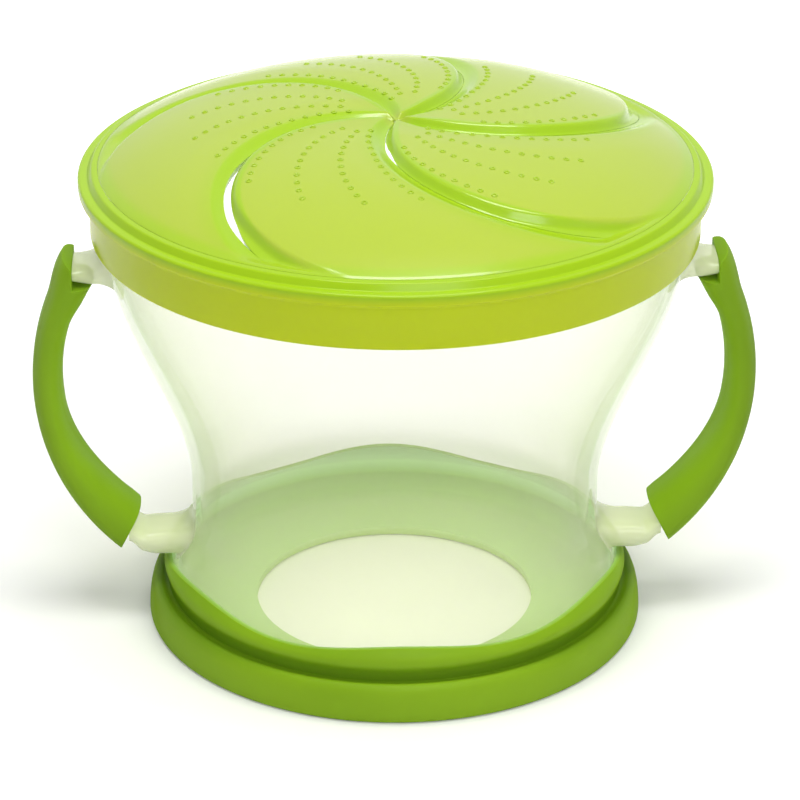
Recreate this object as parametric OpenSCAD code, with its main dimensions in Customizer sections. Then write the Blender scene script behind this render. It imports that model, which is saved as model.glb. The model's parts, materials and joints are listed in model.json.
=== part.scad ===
// Toddler snack container: a clear waisted cup with two soft-gripped side handles,
// a soft boot round its base, and a press-on lid whose five swirl flaps bend inwards
// to let a small hand through. Millimetres, +Z up, origin on the resting surface at
// the middle of the base, with the two handles along the X axis.

/* [Cup] */
// Outer radius of the cup wall below its rim
cup_top_r = 46.2; // [44:0.1:48]
// Outer radius of the cup at its waist
cup_waist_r = 33.2; // [30:0.1:36]
// Outer radius of the cup where it flares out again at the base
cup_base_r = 37.1; // [36:0.1:38.5]
// Height of the cup rim above the resting surface
cup_h = 77.2; // [70:0.1:90]
// Height at which the base flare has closed to the waist
cup_waist_z = 17; // [15:0.1:19]
// Height above which the wall widens towards the rim
cup_rise_z = 24; // [20:0.5:30]
// Depth of the straight stretch of wall below the rim
cup_collar_h = 9.2; // [6:0.1:12]
// Height at which the base flare is widest
cup_flare_z = 7.5; // [6:0.1:9]
// Thickness of the clear wall
cup_wall = 1.3; // [0.9:0.1:2]
// Thickness of the clear floor
cup_floor = 1.5; // [1:0.1:2.5]
// Radius of the round corner between wall and floor
cup_corner_r = 3.4; // [2:0.1:5]
// How far the rim bead stands out from the wall
rim_bead = 0.5; // [0.2:0.1:0.7]
// Height of the rim bead
rim_bead_h = 1.4; // [1:0.1:2.5]

/* [Base boot] */
// How far the foot ring spreads beyond the base flare
foot_spread = 3.5; // [2.5:0.1:6]
// Height of the foot ring
foot_h = 6.6; // [5:0.1:8]
// How far the foot ring leans in from bottom to top
foot_lean = 1.8; // [1:0.1:2.4]
// Thickness of the boot under the cup floor
boot_floor = 1.8; // [1:0.1:2.5]
// Thickness of the boot wall against the cup
boot_wall = 1; // [0.7:0.1:1.4]
// Radius of the round hole through the boot floor
boot_hole_r = 22.8; // [10:0.1:30]
// Mean height of the boot's wavy top edge above the foot ring
wave_rise = 3; // [2.8:0.1:5]
// Height of the waves above and below their mean
wave_height = 1.1; // [0.2:0.1:1.5]
// Number of waves round the boot
wave_count = 6; // [4:1:9]

/* [Handles] */
// Radius of the handle bow at its middle line
bow_r = 37; // [34:0.1:40]
// How far the bow's middle line stands out from the cup's upper wall
bow_reach = 9.8; // [7:0.1:13]
// Height of the bow's centre
bow_z = 41.7; // [39:0.1:44]
// Height of the middle of the upper arm
arm_top_z = 61; // [57:0.1:63]
// Height of the middle of the lower arm
arm_low_z = 13.4; // [13:0.1:18]
// Thickness of the clear arms, in the plane of the bow
arm_t = 3.4; // [2:0.1:3.8]
// Width of the clear arms, across the plane of the bow
arm_w = 9; // [6:0.1:10]
// Radius of the fillets where the arms meet the cup
arm_fillet = 3; // [1:0.1:4]
// Thickness of the soft grip, in the plane of the bow
grip_t = 4.8; // [4.4:0.1:7]
// Width of the soft grip, across the plane of the bow
grip_w = 11.5; // [11:0.1:14]
// Angle on the bow at which the grip's upper end is cut square
grip_top_angle = 30.5; // [20:0.5:31]
// Angle on the bow at which the grip's lower end is cut square
grip_low_angle = -48.5; // [-50:0.5:-40]

/* [Lid ring] */
// How far the brim stands out beyond the skirt
brim_overhang = 1.7; // [1.2:0.1:4]
// Height of the brim's flat top above the cup rim
brim_rise = 0.3; // [0.2:0.1:0.8]
// Thickness of the brim edge
brim_t = 2; // [1.6:0.1:2.6]
// Thickness of the lid skirt
skirt_wall = 1; // [0.8:0.1:1.4]
// Depth of the skirt below the brim's top
skirt_drop = 9.5; // [8:0.1:14]
// Clearance between the lid and the cup rim
lid_fit = 0.2; // [0.1:0.05:0.4]
// How far the snap beads stand out inside the skirt
snap_bead = 0.4; // [0.2:0.05:0.6]
// Number of snap beads round the skirt
snap_count = 6; // [3:1:8]
// Angle that each snap bead covers
snap_angle = 25; // [10:1:40]

/* [Swirl panel] */
// Height of the panel above the brim at its edge
panel_step = 1.2; // [1:0.1:2.4]
// Rise of the domed panel from its edge to its middle
panel_rise = 8; // [6:0.1:9.6]
// Fullness of the dome: 2 is evenly round, more is flatter on top and steeper outside
dome_power = 3.3; // [2:0.1:4]
// Thickness of the panel
panel_t = 1.1; // [0.8:0.1:1.4]
// How much the radius of each slit's arc exceeds half the slit's reach
slit_bow = 2.2; // [1.6:0.1:4]
// Direction in which the first slit leaves the middle
slit_turn = 31; // [0:1:71]
// Distance from the outer ends of the slits to the edge of the panel
slit_margin = 2.8; // [2.3:0.1:4.5]
// Width of the slits at their outer ends
slit_gap = 0.5; // [0.5:0.05:1]
// Width of the slits round the middle, where the bending flaps crowd together
slit_mid_gap = 1.6; // [1.6:0.05:2]
// Depth of the groove at the slits
groove_depth = 1.3; // [0.8:0.1:1.6]
// Width of the groove's steep side
groove_steep = 1.4; // [1.2:0.1:3]
// Width of the groove's other, stepped side
groove_step = 2.8; // [1.6:0.1:4]
// Width of the gentle slope that runs down to the stepped side
groove_slope = 9; // [5:0.1:12]
// How far short of the slits' outer ends each hinge line meets the next slit
hinge_setback = 11; // [8:0.1:14]
// How far a flap bends inwards, in degrees
flap_down = 60; // [30:1:70]
// How far a flap bends outwards, in degrees
flap_up = 12; // [5:1:15]

/* [Hidden] */

clear_plastic = [0.94, 0.97, 0.90, 0.45];
soft_green = [0.47, 0.65, 0.14];
lid_green = [0.72, 0.84, 0.22, 0.85];
flap_green = [0.80, 0.89, 0.40, 0.85];

around = 96;        // facets drawn on full circles
wall_steps = 22;    // points along the cup's curved wall
flare_steps = 8;    // points along the base flare and its corner
wave_steps = 20;    // points along one wave of the boot's edge
fillet_steps = 10;  // points along a fillet
flap_count = 5;

cup_floor_z = boot_floor;
cup_shoulder_z = cup_h - cup_collar_h;
skirt_in_r = cup_top_r + rim_bead + snap_bead + lid_fit;
skirt_r = skirt_in_r + skirt_wall;
brim_r = skirt_r + brim_overhang;
brim_z = cup_h + brim_rise;
skirt_z = brim_z - skirt_drop;
foot_r = cup_base_r + foot_spread;
wave_z = foot_h + wave_rise;
bow_x = cup_top_r + bow_reach - bow_r;
core_t = grip_t - 1.8;
core_w = grip_w - 3;
seg = 360 / flap_count;

function smooth(x) = let (c = min(1, max(0, x))) c * c * (3 - 2 * c);
function smooth_slope(x) = (x <= 0 || x >= 1) ? 0 : 6 * x * (1 - x);

// ---------------------------------------------------------------- cup

// Outer radius of the cup wall at height z, from the flare to the rim
function cup_r(z) = z >= cup_waist_z
    ? cup_waist_r + (cup_top_r - cup_waist_r)
        * smooth((z - cup_rise_z) / (cup_shoulder_z - cup_rise_z))
    : cup_waist_r + (cup_base_r - cup_waist_r)
        * smooth((cup_waist_z - z) / (cup_waist_z - cup_flare_z));

// Slope dr/dz of the outer wall at height z
function cup_lean(z) = z >= cup_waist_z
    ? (cup_top_r - cup_waist_r) / (cup_shoulder_z - cup_rise_z)
        * smooth_slope((z - cup_rise_z) / (cup_shoulder_z - cup_rise_z))
    : -(cup_base_r - cup_waist_r) / (cup_waist_z - cup_flare_z)
        * smooth_slope((cup_waist_z - z) / (cup_waist_z - cup_flare_z));

// Heights of the profile points between the flare and the shoulder
flare_zs = [for (i = [0:flare_steps - 1])
    cup_flare_z + (cup_waist_z - cup_flare_z) * i / flare_steps];
wall_zs = concat([cup_waist_z], [for (i = [0:wall_steps])
    cup_rise_z + (cup_shoulder_z - cup_rise_z) * i / wall_steps]);

// The wall's outer line, moved outwards by d at right angles to the wall
function wall_line(d) = [for (z = concat(flare_zs, wall_zs))
    [cup_r(z) + d * sqrt(1 + pow(cup_lean(z), 2)), z]];

// The round corner below the flare, moved outwards by d
function corner_line(d) = [for (i = [0:flare_steps])
    let (a = -90 + 90 * i / flare_steps)
    [cup_base_r - cup_corner_r + (cup_corner_r + d) * cos(a),
     cup_floor_z + cup_corner_r + (cup_corner_r + d) * sin(a)]];

module cup_profile() {
    outer = concat([[0, cup_floor_z]], corner_line(0), wall_line(0),
        [[cup_top_r, cup_h - rim_bead_h - rim_bead],
         [cup_top_r + rim_bead, cup_h - rim_bead_h],
         [cup_top_r + rim_bead, cup_h - 0.4],
         [cup_top_r + rim_bead - 0.4, cup_h],
         [cup_top_r - cup_wall, cup_h]]);
    inner = concat([[0, cup_floor_z + cup_floor]],
        [for (p = corner_line(-cup_wall)) [p[0], p[1] + cup_floor - cup_wall]],
        wall_line(-cup_wall));
    n = len(inner);
    polygon(concat(outer, [for (i = [0:n - 1]) inner[n - 1 - i]]));
}

module cup_body() {
    color(clear_plastic)
        rotate_extrude($fn = around) cup_profile();
}

// Everything inside the cup's outer surface, to trim what is moulded onto it
module cup_outer_solid(d = 0) {
    rotate_extrude($fn = around)
        polygon(concat([[0, cup_floor_z - d]], corner_line(d), wall_line(d),
            [[cup_top_r + d, cup_h], [0, cup_h]]));
}

// ---------------------------------------------------------------- boot

// Height of the wavy edge at angle a
function wave_at(a) = wave_z + wave_height * cos(wave_count * (a - 90));

// One cutter over each wave valley, wide enough to meet its neighbours at the peaks
module wave_cutter() {
    half = 180 / wave_count;
    mid_r = cup_base_r;
    for (k = [0:wave_count - 1])
        rotate([0, 0, 90 + half + k * 2 * half])
            rotate([90, 0, 90])
                linear_extrude(foot_r)
                    polygon(concat(
                        [[-foot_r * tan(half), wave_z + wave_height],
                         for (i = [0:wave_steps])
                            let (a = half * (2 * i / wave_steps - 1))
                            [mid_r * sin(a), wave_at(90 + half + a)],
                         [foot_r * tan(half), wave_z + wave_height]],
                        [[foot_r * tan(half), cup_h], [-foot_r * tan(half), cup_h]]));
}

module boot_profile() {
    top_z = wave_z + wave_height + 0.5;
    toe = 0.4;
    shoulder_r = foot_r - foot_lean;
    collar_zs = [for (i = [0:6]) cup_flare_z + (top_z - cup_flare_z) * i / 6];
    outer = [for (z = collar_zs)
        [cup_r(z) + boot_wall * sqrt(1 + pow(cup_lean(z), 2)), z]];
    inner = [for (z = collar_zs) [cup_r(z), z]];
    polygon(concat(
        [[boot_hole_r, 0], [foot_r - toe, 0], [foot_r, toe]],
        [[foot_r - foot_lean / 2, foot_h / 2],
         [shoulder_r, foot_h - 1.5 * toe],
         [shoulder_r - toe, foot_h - toe / 4],
         [shoulder_r - 2 * toe, foot_h]],
        [[cup_base_r + boot_wall - toe, foot_h + toe / 4]],
        outer,
        [for (i = [0:6]) inner[6 - i]],
        [for (i = [0:flare_steps]) corner_line(0)[flare_steps - i]],
        [[boot_hole_r, cup_floor_z]]));
}

module base_boot() {
    color(soft_green)
        difference() {
            rotate_extrude($fn = around) boot_profile();
            wave_cutter();
        }
}

// ---------------------------------------------------------------- handles

// A bar section with round edges, t thick along X and w wide along Y
module bar_section(t, w) {
    square([t, w - t], center = true);
    for (s = [-1, 1])
        translate([0, s * (w - t) / 2]) circle(d = t, $fn = 32);
}

// Angle on the bow at which its middle line is at height z
function bow_angle(z) = asin((z - bow_z) / bow_r);
function bow_px(z) = bow_x + bow_r * cos(bow_angle(z));

// The bow's bar, from angle a0 to a1, standing in the XZ plane
module bow_bar(t, w, a0, a1) {
    translate([bow_x, 0, bow_z])
        rotate([90, 0, 0])
            rotate([0, 0, a0])
                rotate_extrude(angle = a1 - a0, $fn = 180)
                    translate([bow_r, 0]) bar_section(t, w);
}

// A straight arm at height z, from the cup axis out to the bow
module arm_bar(z) {
    translate([0, 0, z])
        rotate([0, 90, 0])
            linear_extrude(bow_px(z)) bar_section(arm_t, arm_w);
}

// Fillet above (s = 1) or below (s = -1) the arm at height z, tangent to the wall
module arm_fillet_side(z, s) {
    mid_z = z + s * (arm_t / 2 + arm_fillet);
    wall_z = mid_z + arm_fillet * sin(atan(cup_lean(mid_z)));
    lean = atan(cup_lean(wall_z));
    centre = [cup_r(wall_z) + arm_fillet * cos(lean), mid_z];
    start = 180 - lean;
    end = 180 + s * 90;
    polygon(concat(
        [for (i = [0:fillet_steps])
            let (a = start + (end - start) * i / fillet_steps)
            centre + arm_fillet * [cos(a), sin(a)]],
        [[centre[0], z],
         [cup_r(z) - 2 * cup_wall, z],
         [cup_r(wall_z) - 2 * cup_wall, wall_z]]));
}

module arm_root(z) {
    rotate([90, 0, 0])
        linear_extrude(arm_w - arm_t, center = true)
            for (s = [-1, 1]) arm_fillet_side(z, s);
}

module handle_core() {
    low = bow_angle(arm_low_z);
    top = bow_angle(arm_top_z);
    color(clear_plastic)
        difference() {
            union() {
                bow_bar(core_t, core_w, low, top);
                arm_bar(arm_top_z);
                arm_bar(arm_low_z);
                arm_root(arm_top_z);
                arm_root(arm_low_z);
            }
            cup_outer_solid();
        }
}

module grip() {
    color(soft_green)
        difference() {
            bow_bar(grip_t, grip_w, grip_low_angle, grip_top_angle);
            bow_bar(core_t, core_w, bow_angle(arm_low_z), bow_angle(arm_top_z));
            arm_bar(arm_top_z);
            arm_bar(arm_low_z);
        }
}

module handle_core_left() { rotate([0, 0, 180]) handle_core(); }
module handle_core_right() { handle_core(); }
module grip_left() { rotate([0, 0, 180]) grip(); }
module grip_right() { grip(); }

// ---------------------------------------------------------------- lid panel

panel_edge_z = brim_z + panel_step;
panel_r = skirt_r - 1.5;     // where the panel meets the step up from the brim
slit_end_r = panel_r - slit_margin;
slit_arc_r = slit_end_r / 2 + slit_bow;
hinge_r = slit_end_r - hinge_setback;
scoop_w = 1.2;               // how far the groove widens near its outer end
scoop_r0 = slit_end_r - 9;
scoop_r1 = slit_end_r - 1;
gap_r0 = 13;                 // the slits narrow between these two radii
gap_r1 = hinge_r - 1;

// Height of the domed panel at radius r, before the grooves
function dome_z(r) = panel_edge_z + panel_rise * (1 - pow(r / panel_r, dome_power));

// Angle along the slit's arc, seen from its centre line, at radius r
function slit_alpha(r) = asin(min(1, r / (2 * slit_arc_r)));

// Share of full height left by the groove, u from the slit behind and v from the
// slit ahead, both measured square to the slits
function groove_share(r, u, v) =
    let (scoop = scoop_w * smooth((r - scoop_r0) / (scoop_r1 - scoop_r0)),
         behind = smooth((u - scoop) / groove_steep),
         ahead = 0.75 * smooth(v / groove_step) + 0.25 * smooth(v / groove_slope),
         fade = smooth((r - slit_end_r) / (panel_r - slit_end_r)))
    max(fade, behind * ahead);

// Height of the panel's top at radius r and at angle w past the slit behind it
function panel_z(r, w) =
    let (c = r * cos(slit_alpha(r)) * PI / 180)
    dome_z(r) - groove_depth * (1 - groove_share(r, c * w, c * (seg - w)));

// Start and end of a flap's hinge line, at angles from the direction of its slit
hinge_a0 = slit_alpha(slit_end_r);
hinge_a1 = seg + slit_alpha(hinge_r);
hinge_p0 = slit_end_r * [cos(hinge_a0), sin(hinge_a0)];
hinge_p1 = hinge_r * [cos(hinge_a1), sin(hinge_a1)];
hinge_z0 = panel_z(slit_end_r, 0) - panel_t / 2;
hinge_z1 = panel_z(hinge_r, seg) - panel_t / 2;
hinge_v = hinge_p1 - hinge_p0;
hinge_n = [hinge_v[1], -hinge_v[0]] / norm(hinge_v);
hinge_psi = atan2(hinge_n[1], hinge_n[0]);
hinge_d = hinge_p0 * hinge_n;

// Height of the hinge line at plan point p
function hinge_z(p) =
    hinge_z0 + (hinge_z1 - hinge_z0) * ((p - hinge_p0) * hinge_v) / (hinge_v * hinge_v);

// Angle along the swirl arc that starts at direction w, where it is d from the middle
function reach_alpha(w, d) =
    (asin(min(1, d / slit_arc_r + sin(w - hinge_psi))) - (w - hinge_psi)) / 2;

// ---------------------------------------------------------------- flaps

flap_rows = 15;      // rows from the tip to the hinge line
tip_r = 1.7;         // radius left open round the very middle
hinge_gap = 0.35;    // running clearance on each side of a hinge line
flap_cols = [0, 0.03, 0.065, 0.11, 0.2, 0.35, 0.5, 0.65, 0.76, 0.84, 0.9, 0.95, 1];

// Angle, seen from the middle, that half a slit takes at radius r
function half_slit(r) =
    let (gap = slit_mid_gap
            + (slit_gap - slit_mid_gap) * smooth((r - gap_r0) / (gap_r1 - gap_r0)))
    gap / 2 / (r * cos(slit_alpha(r))) * 180 / PI;

// Direction of the swirl arc through fraction f of a flap's width at radius r
function swirl_w(f, r) = half_slit(r) + f * (seg - 2 * half_slit(r));

function arc_r(alpha) = 2 * slit_arc_r * sin(alpha);

// Clearance at the root that lets the domed flap swing up past the ring
function root_gap(w) =
    let (a = reach_alpha(w, hinge_d),
         r = arc_r(a),
         p = r * [cos(w + a), sin(w + a)])
    hinge_gap + max(0, panel_z(r, w) - hinge_z(p)) * sin(flap_up);

// Where the swirl arc at fraction f ends, just short of the hinge line
function flap_reach(f) =
    let (r = arc_r(reach_alpha(f * seg, hinge_d)),
         w = swirl_w(f, r))
    reach_alpha(w, hinge_d - root_gap(w));

// Point of the flap's top at row fraction s and width fraction f
function flap_point(s, f) =
    let (tip = slit_alpha(tip_r),
         alpha = tip + (flap_reach(f) - tip) * s,
         r = arc_r(alpha),
         w = swirl_w(f, r))
    [r * cos(w + alpha), r * sin(w + alpha), panel_z(r, w)];

// Closed sheet between a grid of top points and the same grid lower down; ring
// joins the last column to the first
module sheet(rows, depth, ring = false) {
    n = len(rows);
    m = len(rows[0]);
    top = [for (row = rows) for (p = row) p];
    points = concat(top, [for (p = top) p - [0, 0, depth]]);
    function id(i, j, low) = i * m + j % m + low * n * m;
    cells = ring ? m : m - 1;
    skins = [for (i = [0:n - 2]) for (j = [0:cells - 1]) for (f = [
        [id(i, j, 0), id(i + 1, j + 1, 0), id(i + 1, j, 0)],
        [id(i, j, 0), id(i, j + 1, 0), id(i + 1, j + 1, 0)],
        [id(i, j, 1), id(i + 1, j, 1), id(i + 1, j + 1, 1)],
        [id(i, j, 1), id(i + 1, j + 1, 1), id(i, j + 1, 1)]]) f];
    ends = [for (j = [0:cells - 1]) for (f = [
        [id(0, j, 0), id(0, j + 1, 1), id(0, j + 1, 0)],
        [id(0, j, 0), id(0, j, 1), id(0, j + 1, 1)],
        [id(n - 1, j, 0), id(n - 1, j + 1, 0), id(n - 1, j + 1, 1)],
        [id(n - 1, j, 0), id(n - 1, j + 1, 1), id(n - 1, j, 1)]]) f];
    sides = ring ? [] : [for (i = [0:n - 2]) for (f = [
        [id(i, 0, 0), id(i + 1, 0, 0), id(i + 1, 0, 1)],
        [id(i, 0, 0), id(i + 1, 0, 1), id(i, 0, 1)],
        [id(i, m - 1, 0), id(i + 1, m - 1, 1), id(i + 1, m - 1, 0)],
        [id(i, m - 1, 0), id(i, m - 1, 1), id(i + 1, m - 1, 1)]]) f];
    polyhedron(points, concat(skins, ends, sides));
}

module flap(k) {
    color(flap_green)
        rotate([0, 0, slit_turn + seg * (k - 1)])
            sheet([for (i = [0:flap_rows])
                [for (f = flap_cols) flap_point(i / flap_rows, f)]], panel_t);
}

module flap_1() { flap(1); }
module flap_2() { flap(2); }
module flap_3() { flap(3); }
module flap_4() { flap(4); }
module flap_5() { flap(5); }

// ---------------------------------------------------------------- lid ring

margin_rows = 5;
snap_turn = 51;              // direction of the first snap bead
snap_drop = 1.2;             // from the cup's rim bead down to the snap beads
join_r = panel_r - 1;        // where the moulded rim takes over from the margin

// Inner edge of the fixed margin at angle a past a slit's direction: along the
// hinge line first, then along the outer stretch of the next slit
function margin_in(a) =
    a <= hinge_a1
    ? (hinge_d + hinge_gap) / cos(a - hinge_psi)
    : let (r = arc_r(a - seg)) arc_r(a - seg + half_slit(r));

function margin_point(a, i) =
    let (r0 = margin_in(a),
         r = r0 + (join_r - r0) * i / margin_rows,
         w = a - slit_alpha(r))
    [r * cos(a), r * sin(a), panel_z(r, (w + seg) % seg)];

// Outer edge of the margin, sunk into the rim
function margin_edge(a) =
    let (r = join_r + 0.6)
    [r * cos(a), r * sin(a), dome_z(r) - 0.05];

margin_angles = concat(
    [for (i = [0:11]) hinge_a0 + (hinge_a1 - hinge_a0) * i / 12],
    [for (i = [0:4]) hinge_a1 + 0.3 + (hinge_a0 + seg - hinge_a1 - 0.8) * i / 4]);

module panel_margin() {
    turns = [for (k = [0:flap_count - 1]) for (a = margin_angles) [a, k * seg]];
    rotate([0, 0, slit_turn])
        sheet(concat(
            [for (i = [0:margin_rows]) [for (t = turns)
                let (p = margin_point(t[0], i), c = cos(t[1]), s = sin(t[1]))
                [p[0] * c - p[1] * s, p[0] * s + p[1] * c, p[2]]]],
            [[for (t = turns) margin_edge(t[0] + t[1])]]),
            panel_t - 0.1, ring = true);
}

module rim_profile() {
    top = panel_edge_z;
    low = brim_z - brim_t;
    polygon([
        [skirt_in_r, skirt_z + 0.3],
        [skirt_in_r + 0.3, skirt_z],
        [skirt_r - 0.3, skirt_z],
        [skirt_r, skirt_z + 0.3],
        [skirt_r, low - 0.9],
        [skirt_r + 0.3, low - 0.4],
        [brim_r - 0.7, low],
        [brim_r - 0.1, low + 0.5],
        [brim_r, low + 1],
        [brim_r - 0.1, brim_z - 0.4],
        [brim_r - 0.5, brim_z],
        [skirt_r + 0.15, brim_z],
        [skirt_r - 0.25, brim_z + 0.25],
        [skirt_r - 0.75, top - 0.45],
        [skirt_r - 1.1, top - 0.1],
        [panel_r, top],
        [panel_r - 0.6, dome_z(panel_r - 0.6)],
        [join_r - 0.4, dome_z(join_r - 0.4)],
        [join_r - 0.4, dome_z(join_r - 0.4) - panel_t],
        [cup_top_r - cup_wall - 0.6, cup_h + lid_fit],
        [cup_top_r + rim_bead, cup_h + lid_fit],
        [skirt_in_r, cup_h - 0.3]
    ]);
}

// One snap bead, a shallow ridge inside the skirt below the cup's rim bead
module snap_ridge() {
    z = cup_h - rim_bead_h - rim_bead - snap_drop;
    rotate([0, 0, -snap_angle / 2])
        rotate_extrude(angle = snap_angle, $fn = around)
            polygon([
                [skirt_in_r + 0.3, z - 0.9],
                [skirt_in_r - snap_bead + lid_fit, z - 0.2],
                [skirt_in_r - snap_bead + lid_fit, z + 0.2],
                [skirt_in_r + 0.3, z + 0.9]]);
}

module lid_ring() {
    color(lid_green)
        union() {
            rotate_extrude($fn = around) rim_profile();
            panel_margin();
            for (k = [0:snap_count - 1])
                rotate([0, 0, snap_turn + 360 / snap_count * k]) snap_ridge();
        }
}

cup_body();
handle_core_left();
handle_core_right();
grip_left();
grip_right();
base_boot();
lid_ring();
flap_1();
flap_2();
flap_3();
flap_4();
flap_5();
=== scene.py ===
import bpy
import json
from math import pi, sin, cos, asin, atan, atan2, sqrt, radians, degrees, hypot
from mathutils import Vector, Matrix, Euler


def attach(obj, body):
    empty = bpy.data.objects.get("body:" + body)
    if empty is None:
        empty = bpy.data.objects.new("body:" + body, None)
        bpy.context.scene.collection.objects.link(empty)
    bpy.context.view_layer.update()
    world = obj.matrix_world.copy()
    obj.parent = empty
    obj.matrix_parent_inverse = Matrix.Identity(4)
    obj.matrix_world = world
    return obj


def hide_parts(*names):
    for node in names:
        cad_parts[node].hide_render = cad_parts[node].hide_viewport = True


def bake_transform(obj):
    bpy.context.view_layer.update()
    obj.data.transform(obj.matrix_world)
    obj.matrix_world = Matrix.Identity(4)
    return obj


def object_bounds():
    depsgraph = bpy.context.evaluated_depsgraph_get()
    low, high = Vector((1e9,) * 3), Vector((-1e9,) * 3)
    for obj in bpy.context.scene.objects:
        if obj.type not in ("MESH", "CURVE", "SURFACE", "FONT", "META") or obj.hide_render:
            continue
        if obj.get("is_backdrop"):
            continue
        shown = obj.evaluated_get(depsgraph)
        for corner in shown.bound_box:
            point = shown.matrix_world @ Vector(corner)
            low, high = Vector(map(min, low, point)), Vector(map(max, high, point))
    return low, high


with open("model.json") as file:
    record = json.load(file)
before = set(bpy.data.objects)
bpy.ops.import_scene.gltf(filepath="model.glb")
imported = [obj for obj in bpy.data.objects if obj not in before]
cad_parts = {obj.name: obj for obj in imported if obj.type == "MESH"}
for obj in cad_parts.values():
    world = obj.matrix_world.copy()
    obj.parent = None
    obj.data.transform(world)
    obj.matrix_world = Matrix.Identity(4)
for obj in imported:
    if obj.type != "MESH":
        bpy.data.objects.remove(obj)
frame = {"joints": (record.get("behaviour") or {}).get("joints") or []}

# %% [markdown]
# # A toddler's snack container
#
# The real thing is a clear waisted cup with two handles, soft green sleeves on the
# handles, a soft green boot under the cup and a soft green lid. The lid's domed panel
# is cut into five swirling flaps that a small hand can push through.
#
# The frame that has just been loaded holds the plain construction. Everything that
# follows makes the finished surfaces round it, in metres and in the same place.

MM = 0.001
MERGE = 0.000002         # in metres: points closer together than this become one
cad_low, cad_high = [list(corner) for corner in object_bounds()]

CUP_TOP_R = 46.2
CUP_WAIST_R = 33.2
CUP_BASE_R = 37.1
CUP_H = 77.2
WAIST_Z = 17.0
RISE_Z = 24.0
SHOULDER_Z = 68.0
FLARE_Z = 7.5
WALL = 1.3
FLOOR = 1.5
CORNER_R = 3.4
BOOT_FLOOR = 1.8

print("size of the plain construction in mm:",
      [round((b - a) / MM, 1) for a, b in zip(cad_low, cad_high)])


# %% [markdown]
# ## Helpers for working as by hand
#
# Blender's operators act on whatever is selected, so each step begins by deselecting
# everything. A turned shape starts as a circle whose points are laid along the outline
# of the cross-section. The spin operator then carries that outline round the axis.

# %% Selecting, shading and finishing
def deselect():
    if bpy.context.object and bpy.context.object.mode != "OBJECT":
        bpy.ops.object.mode_set(mode="OBJECT")
    bpy.ops.object.select_all(action="DESELECT")


def work_on(piece):
    deselect()
    piece.select_set(True)
    bpy.context.view_layer.objects.active = piece


def edit(piece):
    work_on(piece)
    bpy.ops.object.mode_set(mode="EDIT")
    bpy.ops.mesh.select_all(action="SELECT")


def leave_edit():
    bpy.ops.object.mode_set(mode="OBJECT")


def smooth_faces(piece, angle):
    work_on(piece)
    bpy.ops.object.shade_smooth_by_angle(angle=radians(angle))


def apply_modifiers(piece):
    work_on(piece)
    for name in [m.name for m in piece.modifiers]:
        bpy.ops.object.modifier_apply(modifier=name)


def place_in_mesh(piece):
    work_on(piece)
    bpy.ops.object.transform_apply(location=True, rotation=True, scale=True)


def soft_edges(piece, width, segments, angle):
    """A bevel along every edge that is sharper than the angle."""
    bevel = piece.modifiers.new("soft_edges", "BEVEL")
    bevel.width = width * MM
    bevel.segments = segments
    bevel.limit_method = "ANGLE"
    bevel.angle_limit = radians(angle)


def turn_round(piece, angle):
    """Turns a piece's mesh round the upright axis through the origin."""
    piece.data.transform(Matrix.Rotation(radians(angle), 4, "Z"))


def copy_of(piece, name):
    """A copy with its own mesh."""
    twin = piece.copy()
    twin.data = piece.data.copy()
    twin.name = name
    bpy.context.scene.collection.objects.link(twin)
    return twin


def joined(pieces, name):
    """All the pieces as one object, with a new name."""
    deselect()
    for piece in pieces:
        piece.select_set(True)
    bpy.context.view_layer.objects.active = pieces[0]
    bpy.ops.object.join()
    whole = bpy.context.object
    whole.name = name
    return whole


def note_on_points(piece, name, values):
    """Keeps one number on each point of the mesh, which a finish can read."""
    piece.data.attributes.new(name, "FLOAT", "POINT").data.foreach_set("value", values)


# %% Turned and curved shapes
def merge_points():
    """In edit mode: merges points that lie together."""
    bpy.ops.mesh.select_all(action="SELECT")
    bpy.ops.mesh.remove_doubles(threshold=MERGE)


def face_outwards():
    """In edit mode: turns all faces outwards."""
    bpy.ops.mesh.select_all(action="SELECT")
    bpy.ops.mesh.normals_make_consistent(inside=False)


def turned(name, outline, steps=192):
    """Spins a closed outline of (radius, height) points, in mm, round the Z axis."""
    deselect()
    bpy.ops.mesh.primitive_circle_add(vertices=len(outline), radius=1)
    piece = bpy.context.object
    piece.name = name
    for point, (r, z) in zip(piece.data.vertices, outline):
        point.co = (r * MM, 0, z * MM)
    edit(piece)
    bpy.ops.mesh.spin(steps=steps, angle=2 * pi, center=(0, 0, 0), axis=(0, 0, 1))
    merge_points()
    bpy.ops.mesh.delete_loose(use_verts=True, use_edges=True, use_faces=False)
    face_outwards()
    leave_edit()
    return piece


def arc(cx, cz, radius, start, end, count):
    """Points along an arc, angles in degrees."""
    return [(cx + radius * cos(radians(start + (end - start) * i / count)),
             cz + radius * sin(radians(start + (end - start) * i / count)))
            for i in range(count + 1)]


def smooth(x):
    """Rises softly from 0 to 1 as x does, and stays level outside."""
    x = min(1, max(0, x))
    return x * x * (3 - 2 * x)


def signed_power(x, power):
    """A power that keeps the sign. Below 1 it squares up a round section a little."""
    return abs(x) ** power * (1 if x > 0 else -1)


# %% [markdown]
# ## Camera, floor and light
#
# A long lens from slightly above flattens the cup gently. The floor is white and keeps
# the soft shadow. One large softbox hangs overhead, a smaller one stands in front and
# a weak one at the front right, so every rounded edge picks up a thin line of light.
# A small lamp inside the cup stands for the light that the lid lets through. The room
# is dimmer at the far left and right, which gives the round shapes their shading.

# %% Camera
TARGET = Vector((0.81, -0.03, 36.88)) * MM
BACK = Vector((-0.0362, -0.9011, 0.4321)).normalized()
DISTANCE = 0.5845
ROLL = radians(0.21)
LENS = 162
SENSOR = 36

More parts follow.
